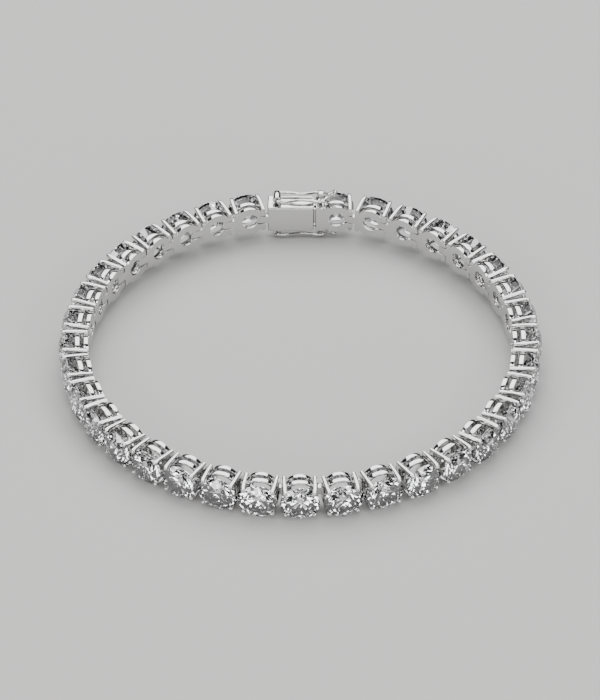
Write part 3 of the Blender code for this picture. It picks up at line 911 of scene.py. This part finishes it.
# %% [markdown]
# ## Diamond
#
# A diamond bends light far more than glass does, and this is all it needs to
# sparkle: most of the light that enters is thrown back by the pavilion.  Its own
# colour is close to none.  The facets are cut flat and are not smoothed, because
# every edge between them must stay a sharp line.

# %% The diamond
DIAMOND_IOR = 2.417
CLEAR, FAINT_BLUE = (1.0, 1.0, 1.0), (0.96, 0.98, 1.0)


def clear_diamond(name):
    """A clear stone with faint polishing marks on its facets."""
    made, tree, shader, place = new_material(name)
    shader.inputs["Transmission Weight"].default_value = 1.0
    shader.inputs["IOR"].default_value = DIAMOND_IOR
    marks = noise(tree, place, 2500.0, 2.0)
    tree.links.new(steer(tree, marks, 0.0, 0.02), shader.inputs["Roughness"])
    colour = drift(tree, marks, CLEAR, FAINT_BLUE)
    tree.links.new(colour, shader.inputs["Base Color"])
    bump(tree, shader, marks, 0.000001, 0.1)
    return made


diamond = clear_diamond("diamond, clear")
print("material:", diamond.name)

# %% [markdown]
# ## Setting the row
#
# Every link gets its own copy of the setting and of the stone, placed by its frame.
# A real setter also works from one casting, repeated as often as the wrist needs.
#
# Each copy takes over from a plain CAD link and rides on the same body.

# %% Place the links
def dress(piece, matrix, body, finish):
    """Put a piece in place, give it its finish and let it ride on its body."""
    piece.data.materials.clear()
    piece.data.materials.append(finish)
    piece.matrix_world = matrix
    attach(piece, body)
    return piece


def copy_of(master, name):
    """A piece of its own with the master's shape."""
    made = bpy.data.objects.new(name, master.data.copy())
    bpy.context.scene.collection.objects.link(made)
    return made


for number, matrix in enumerate(link_frames, start=1):
    link = dress(copy_of(master_setting, f"setting_{number:02d}"), matrix, "bracelet",
                 gold)
    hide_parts(f"link_{number:02d}")
    dress(copy_of(master_stone, f"stone_{number:02d}"), matrix, "bracelet",
          diamond)
print("settings placed:", len(link_frames))

# %% Place the clasp
case = dress(clasp_case("clasp_case"), clasp_frame, "bracelet", gold)
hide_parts("clasp_box")
end = dress(clasp_end("clasp_end"), clasp_frame, "bracelet", gold)
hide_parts("clasp_tongue")
last_frame = clasp_frame @ Matrix.Translation((LAST_SETTING_X, 0.0, 0.0))
dress(copy_of(master_stone, "stone_35"), last_frame, "bracelet", diamond)

for label, side in (("upper", 1), ("lower", -1)):
    hinge_place = Matrix.Translation((BARREL_X, CLASP_MIDDLE, side * BARREL_UP))
    wire = dress(catch_wire(f"catch_wire_{label}", side), clasp_frame @ hinge_place,
                 f"catch_{label}", gold)
    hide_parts(f"safety_catch_{label}")
for master in (master_setting, master_stone):
    bpy.data.objects.remove(master, do_unlink=True)
print("faces in the case and in the end:", len(case.data.polygons), len(end.data.polygons))

# %% [markdown]
# ## A plain studio
#
# Polished gold has no look of its own and shows only what stands round it.  So the
# light is chosen for its reflections: one tall soft panel reaches from behind the
# bracelet to right above it, for the long bright lines on the bars and the rails,
# and the room stays dark enough to leave the metal its black accents.  Small
# square lamps all round the front give the stones their sparks.

# %% The floor
PAPER_RADIUS = 1.5
PAPER_GREY, PAPER_CREAM = (0.45, 0.45, 0.45), (0.48, 0.475, 0.465)


def pale_paper(name):
    """Matte paper with a faint grain."""
    made, tree, shader, place = new_material(name)
    grain = noise(tree, place, 800.0)
    tree.links.new(steer(tree, grain, 0.80, 0.95), shader.inputs["Roughness"])
    colour = drift(tree, grain, PAPER_GREY, PAPER_CREAM)
    tree.links.new(colour, shader.inputs["Base Color"])
    bump(tree, shader, grain, 0.00001, 0.1)
    return made


def paper_sheet(name, radius, sides=64):
    """A round sheet of paper lying on the ground."""
    angles = [math.tau * k / sides for k in range(sides)]
    points = [(radius * math.cos(angle), radius * math.sin(angle), 0.0) for angle in angles]
    return make_object(name, points, [tuple(range(sides))])


sheet = paper_sheet("paper_sheet", PAPER_RADIUS)
sheet.data.materials.append(pale_paper("pale paper"))
print("floor radius in m:", PAPER_RADIUS)


# %% The light
def panel(name, place, aim, width, depth, watts):
    """A soft rectangular light aimed at a point."""
    light = bpy.data.lights.new(name, "AREA")
    light.shape = "RECTANGLE"
    light.size = width
    light.size_y = depth
    light.energy = watts
    lamp = bpy.data.objects.new(name, light)
    bpy.context.scene.collection.objects.link(lamp)
    lamp.location = place
    lamp.rotation_mode = "QUATERNION"
    lamp.rotation_quaternion = (Vector(aim) - Vector(place)).to_track_quat("-Z", "Y")
    return lamp


def at_angle(azimuth, elevation, distance):
    """A place seen from the bracelet at an azimuth from the front and an elevation."""
    turn, rise = math.radians(azimuth), math.radians(elevation)
    return (distance * math.sin(turn) * math.cos(rise),
            -distance * math.cos(turn) * math.cos(rise), distance * math.sin(rise))


MIDDLE = (0.0, 0.0, 0.0)
LAMP_DISTANCE = 0.7
SIDE_PANEL = (0.20, 0.34, 1.4)         # width, depth and watts
SPARK_PANEL = (0.15, 0.15, 0.55)
panel("panel_behind", at_angle(180, 60, LAMP_DISTANCE), MIDDLE, 0.78, 0.84, 9.4)
panel("panel_left", at_angle(-72, 38, LAMP_DISTANCE), MIDDLE, *SIDE_PANEL)
panel("panel_right", at_angle(66, 42, LAMP_DISTANCE), MIDDLE, *SIDE_PANEL)
SPARKS = ((-40, 18), (38, 14), (-16, 26), (14, 60), (-30, 62), (44, 32),
          (0, 12), (-58, 10), (60, 8))
for spot, (azimuth, elevation) in enumerate(SPARKS):
    panel(f"spark_{spot}", at_angle(azimuth, elevation, LAMP_DISTANCE), MIDDLE, *SPARK_PANEL)
print("lights:", 3 + len(SPARKS))

ROOM_COLOUR = (0.50, 0.50, 0.52, 1.0)
ROOM_STRENGTH = 0.08

world = bpy.data.worlds.new("dim room")
world.use_nodes = True
background = world.node_tree.nodes["Background"]
background.inputs["Color"].default_value = ROOM_COLOUR
background.inputs["Strength"].default_value = ROOM_STRENGTH
bpy.context.scene.world = world

# %% [markdown]
# ## The camera
#
# The picture was taken from about thirty-eight degrees above the ground with a long
# lens, which keeps the far side of the loop nearly as large as the near side.

# %% Set up the camera
CAMERA_PLACE = Vector((0.048, -315.56, 260.33)) * MM
CAMERA_PITCH = math.radians(39.589)
LENS_LENGTH = 158.66             # Blender counts lenses in millimetres
NEAREST = 0.01

lens = bpy.data.cameras.new("long lens")
lens.lens = LENS_LENGTH
lens.clip_start = NEAREST
camera = bpy.data.objects.new("camera", lens)
bpy.context.scene.collection.objects.link(camera)
look = Matrix.Rotation(math.tau / 4 - CAMERA_PITCH, 4, "X")
camera.matrix_world = stand @ Matrix.Translation(CAMERA_PLACE) @ look
bpy.context.scene.camera = camera
print("camera at:", tuple(camera.location))
